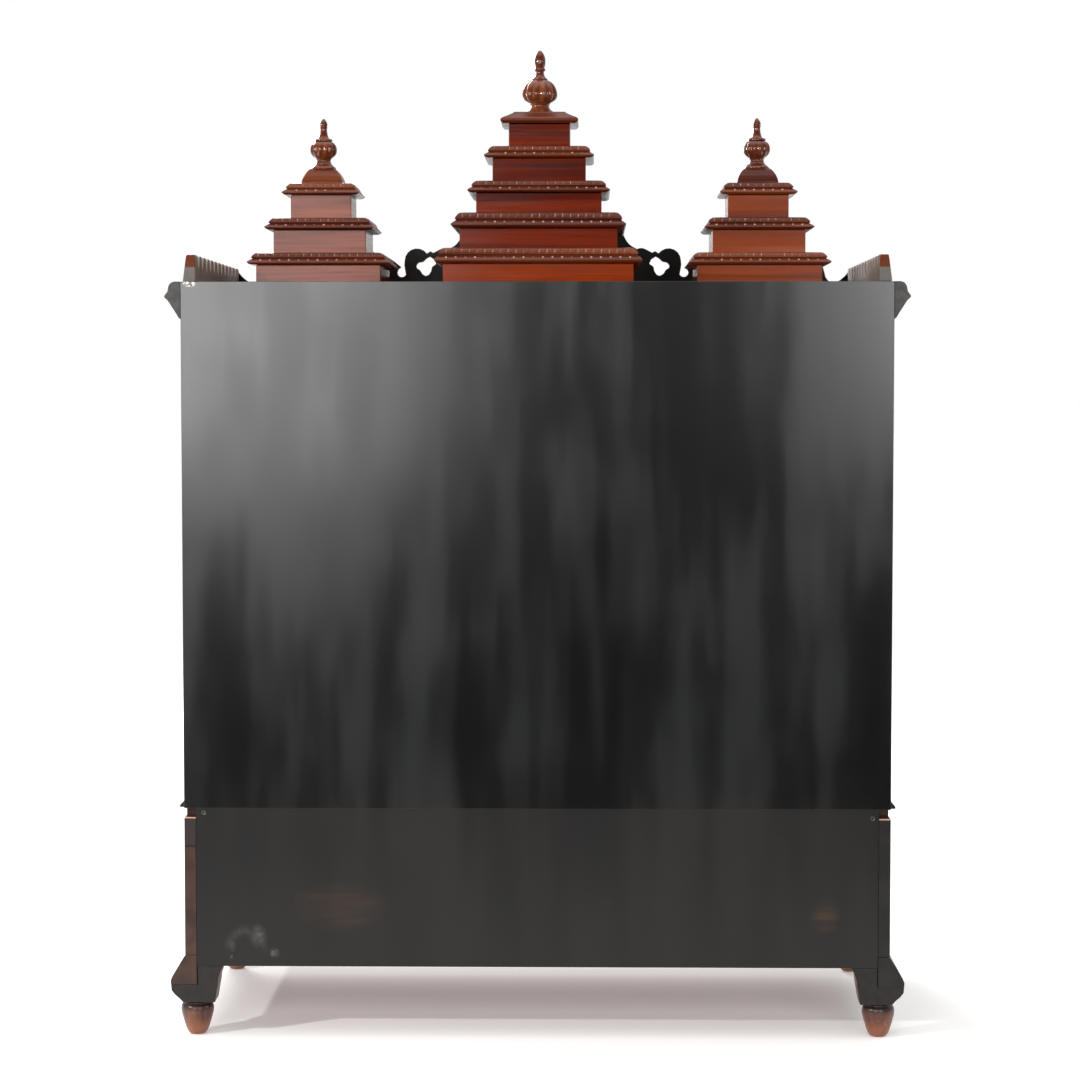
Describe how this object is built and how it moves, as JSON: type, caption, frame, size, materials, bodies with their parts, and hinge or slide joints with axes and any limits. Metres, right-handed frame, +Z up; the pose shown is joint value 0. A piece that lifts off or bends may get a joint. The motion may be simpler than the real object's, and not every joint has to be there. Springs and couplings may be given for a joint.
{
  "type": "household altar cabinet",
  "caption": "Wooden home shrine: an open niche with an arched front and black back panel, stepped roofs with turned finials, and an open base on bun feet.",
  "frame": {"origin": "centre of the bounding box, on the floor under the feet", "axes": "+Z up; -Y is the open front with the arches; +Y is the black back panel; +X is the cabinet's left side as the picture shows it from behind"},
  "size_m": [1.2546, 0.6273, 1.7078],
  "materials": {
    "mahogany": "glossy red-brown lacquer",
    "carved_wood": "dark maroon stain, carved, satin lacquer",
    "side_wood": "brown stain, satin lacquer",
    "foot_wood": "brown stain, satin lacquer",
    "black_paint": "black paint with a soft wiped gloss"
  },
  "bodies": {
    "root": {"bun_foot_back_left": "foot_wood", "foot_block_back_left": "foot_wood", "bun_foot_back_right": "foot_wood", "foot_block_back_right": "foot_wood", "bun_foot_front_left": "foot_wood", "foot_block_front_left": "foot_wood", "bun_foot_front_right": "foot_wood", "foot_block_front_right": "foot_wood", "skirting_left": "side_wood", "skirting_right": "side_wood", "skirting_front": "side_wood", "base_side_left": "side_wood", "base_side_right": "side_wood", "base_floor_board": "side_wood", "neck_board": "side_wood", "shrine_floor": "side_wood", "shrine_side_left": "side_wood", "shrine_side_right": "side_wood", "crown_moulding_left": "side_wood", "crown_moulding_right": "side_wood", "side_cresting_left": "side_wood", "side_cresting_right": "side_wood", "base_back_panel": "black_paint", "back_panel": "black_paint", "base_stile_left": "mahogany", "base_stile_right": "mahogany", "base_top_rail": "mahogany", "roof_board": "mahogany", "crown_moulding_front": "mahogany", "arch_board": "mahogany", "front_column_left": "mahogany", "front_column_right": "mahogany", "front_crest_board": "mahogany", "centre_roof_box_1": "mahogany", "centre_roof_box_2": "mahogany", "centre_roof_box_3": "mahogany", "centre_roof_box_4": "mahogany", "centre_roof_box_5": "mahogany", "centre_roof_cornice_1": "carved_wood", "centre_roof_cornice_2": "carved_wood", "centre_roof_cornice_3": "carved_wood", "centre_roof_cornice_4": "carved_wood", "centre_roof_cap": "carved_wood", "centre_finial": "carved_wood", "left_roof_box_1": "mahogany", "left_roof_cornice_1": "carved_wood", "left_roof_box_2": "mahogany", "left_roof_cornice_2": "carved_wood", "left_roof_box_3": "mahogany", "left_roof_cornice_3": "carved_wood", "left_roof_cap": "carved_wood", "left_finial": "carved_wood", "right_roof_box_1": "mahogany", "right_roof_cornice_1": "carved_wood", "right_roof_box_2": "mahogany", "right_roof_cornice_2": "carved_wood", "right_roof_box_3": "mahogany", "right_roof_cornice_3": "carved_wood", "right_roof_cap": "carved_wood", "right_finial": "carved_wood"}
  },
  "joints": []
}
